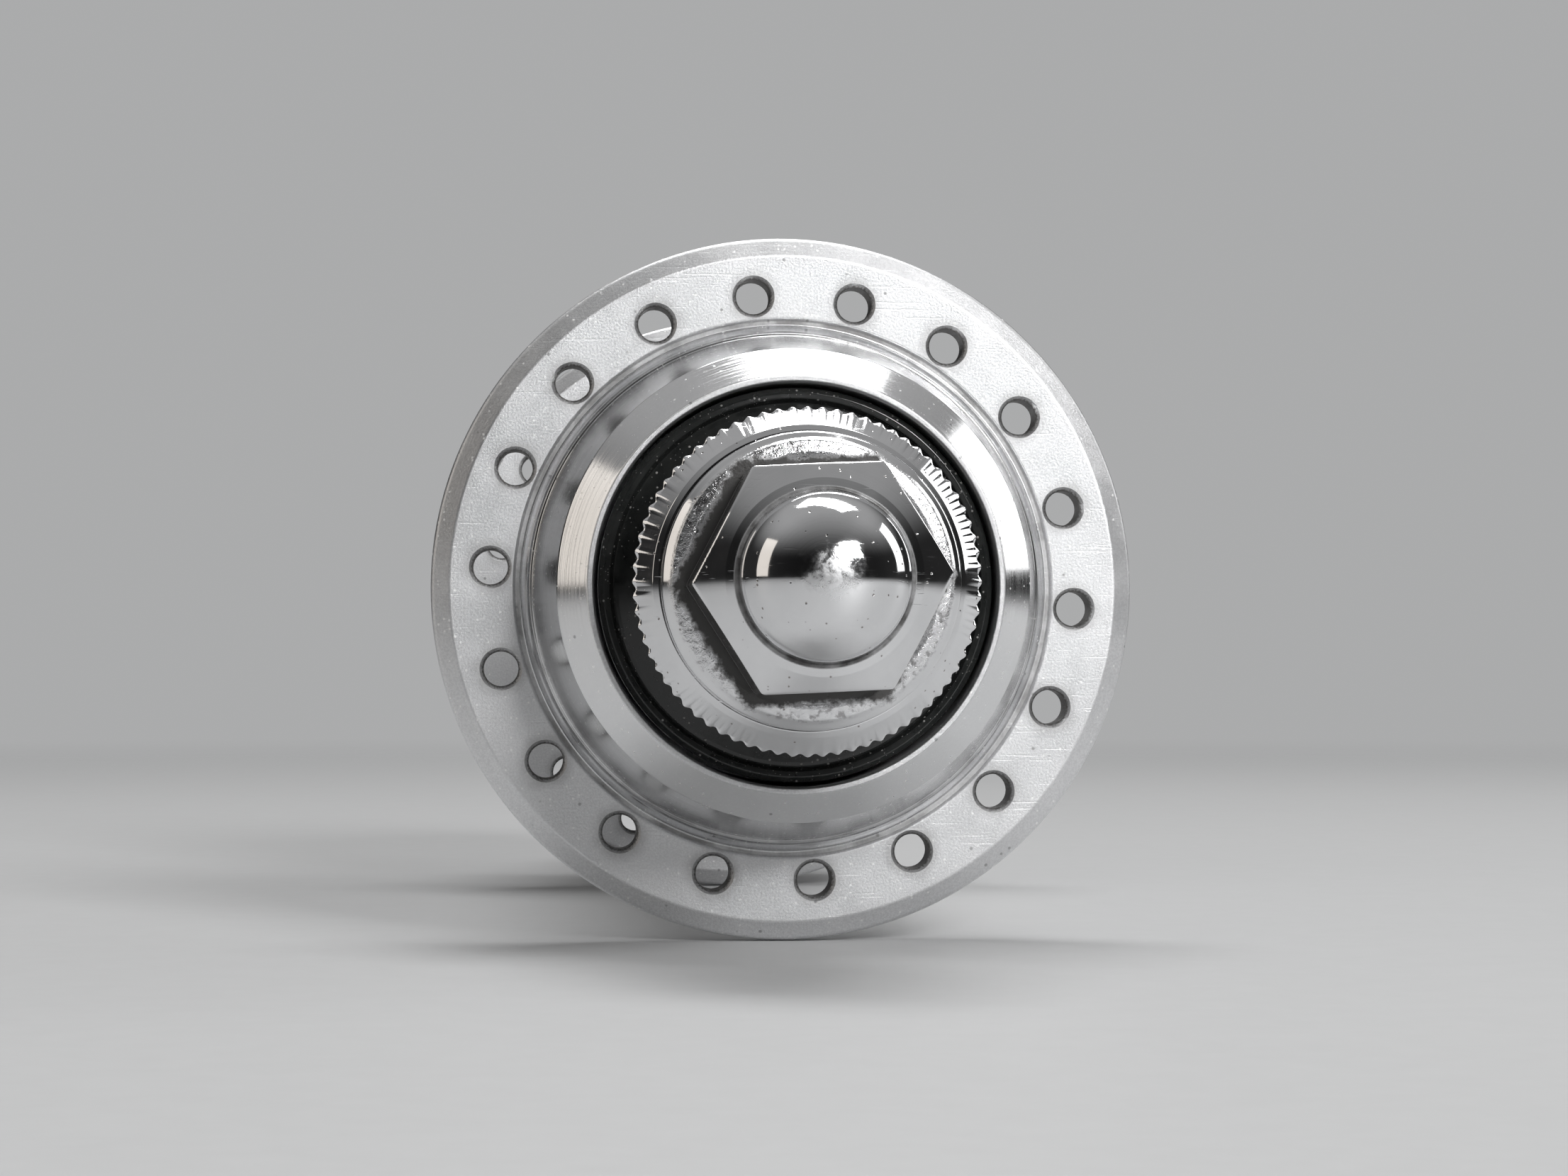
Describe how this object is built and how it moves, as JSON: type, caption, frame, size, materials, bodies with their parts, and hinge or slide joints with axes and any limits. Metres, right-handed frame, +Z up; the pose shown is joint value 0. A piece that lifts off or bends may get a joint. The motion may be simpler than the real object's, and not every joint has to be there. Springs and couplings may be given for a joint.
{
  "type": "bicycle hub",
  "caption": "Small-flange rear bicycle hub with loose ball bearings, a solid axle, toothed captive washers and domed flange nuts.",
  "frame": {"origin": "the hub's centre on the axle's axis, midway between the ends", "axes": "+Y along the axle towards the threaded sprocket boss, the near end of the picture towards -Y, +Z up"},
  "size_m": [0.0528, 0.1496, 0.0528],
  "materials": {
    "satin_aluminium": "satin, with a polished boss",
    "plain_steel": "zinc grey",
    "hardened_steel": "ground and polished",
    "black_seal": "glossy black",
    "chrome_plate": "chrome plate, worn at the dome"
  },
  "bodies": {
    "axle_set": {"axle": "plain_steel", "near_cone": "hardened_steel", "near_dust_seal": "black_seal", "near_key_washer": "plain_steel", "near_spacer": "plain_steel", "near_locknut": "plain_steel", "far_cone": "hardened_steel", "far_dust_seal": "black_seal", "far_key_washer": "plain_steel", "far_spacer": "plain_steel", "far_locknut": "plain_steel"},
    "shell": {"hub_shell": "satin_aluminium", "near_bearing_cup": "hardened_steel", "near_dust_cap": "plain_steel", "far_bearing_cup": "hardened_steel", "far_dust_cap": "plain_steel"},
    "near_balls": {"near_ball_1": "hardened_steel", "near_ball_2": "hardened_steel", "near_ball_3": "hardened_steel", "near_ball_4": "hardened_steel", "near_ball_5": "hardened_steel", "near_ball_6": "hardened_steel", "near_ball_7": "hardened_steel", "near_ball_8": "hardened_steel", "near_ball_9": "hardened_steel"},
    "far_balls": {"far_ball_1": "hardened_steel", "far_ball_2": "hardened_steel", "far_ball_3": "hardened_steel", "far_ball_4": "hardened_steel", "far_ball_5": "hardened_steel", "far_ball_6": "hardened_steel", "far_ball_7": "hardened_steel", "far_ball_8": "hardened_steel", "far_ball_9": "hardened_steel"},
    "near_washer_body": {"near_washer": "chrome_plate"},
    "far_washer_body": {"far_washer": "chrome_plate"},
    "near_nut_body": {"near_cap_nut": "chrome_plate"},
    "far_nut_body": {"far_cap_nut": "chrome_plate"}
  },
  "joints": [
    {"name": "shell_spin", "type": "hinge", "parent": "axle_set", "child": "shell", "pos_m": [0, 0, 0], "axis": [0, 1, 0], "continuous": true},
    {"name": "near_balls_orbit", "type": "hinge", "parent": "axle_set", "child": "near_balls", "pos_m": [0, -0.0406, 0], "axis": [0, 1, 0], "continuous": true},
    {"name": "far_balls_orbit", "type": "hinge", "parent": "axle_set", "child": "far_balls", "pos_m": [0, 0.0406, 0], "axis": [0, 1, 0], "continuous": true},
    {"name": "near_nut_travel", "type": "slide", "parent": "axle_set", "child": "near_washer_body", "axis": [0, -1, 0], "range_m": [0, 0.01]},
    {"name": "near_nut_turn", "type": "hinge", "parent": "near_washer_body", "child": "near_nut_body", "pos_m": [0, -0.058, 0], "axis": [0, -1, 0], "range_deg": [0, 3602]},
    {"name": "far_nut_travel", "type": "slide", "parent": "axle_set", "child": "far_washer_body", "axis": [0, 1, 0], "range_m": [0, 0.01]},
    {"name": "far_nut_turn", "type": "hinge", "parent": "far_washer_body", "child": "far_nut_body", "pos_m": [0, 0.058, 0], "axis": [0, 1, 0], "range_deg": [0, 3602]}
  ],
  "couplings": [
    {"joint": "near_balls_orbit", "follows": "shell_spin", "ratio": 0.607},
    {"joint": "far_balls_orbit", "follows": "shell_spin", "ratio": 0.607},
    {"joint": "near_nut_turn", "follows": "near_nut_travel", "rad_per_m": 6283.2},
    {"joint": "far_nut_turn", "follows": "far_nut_travel", "rad_per_m": 6283.2}
  ]
}
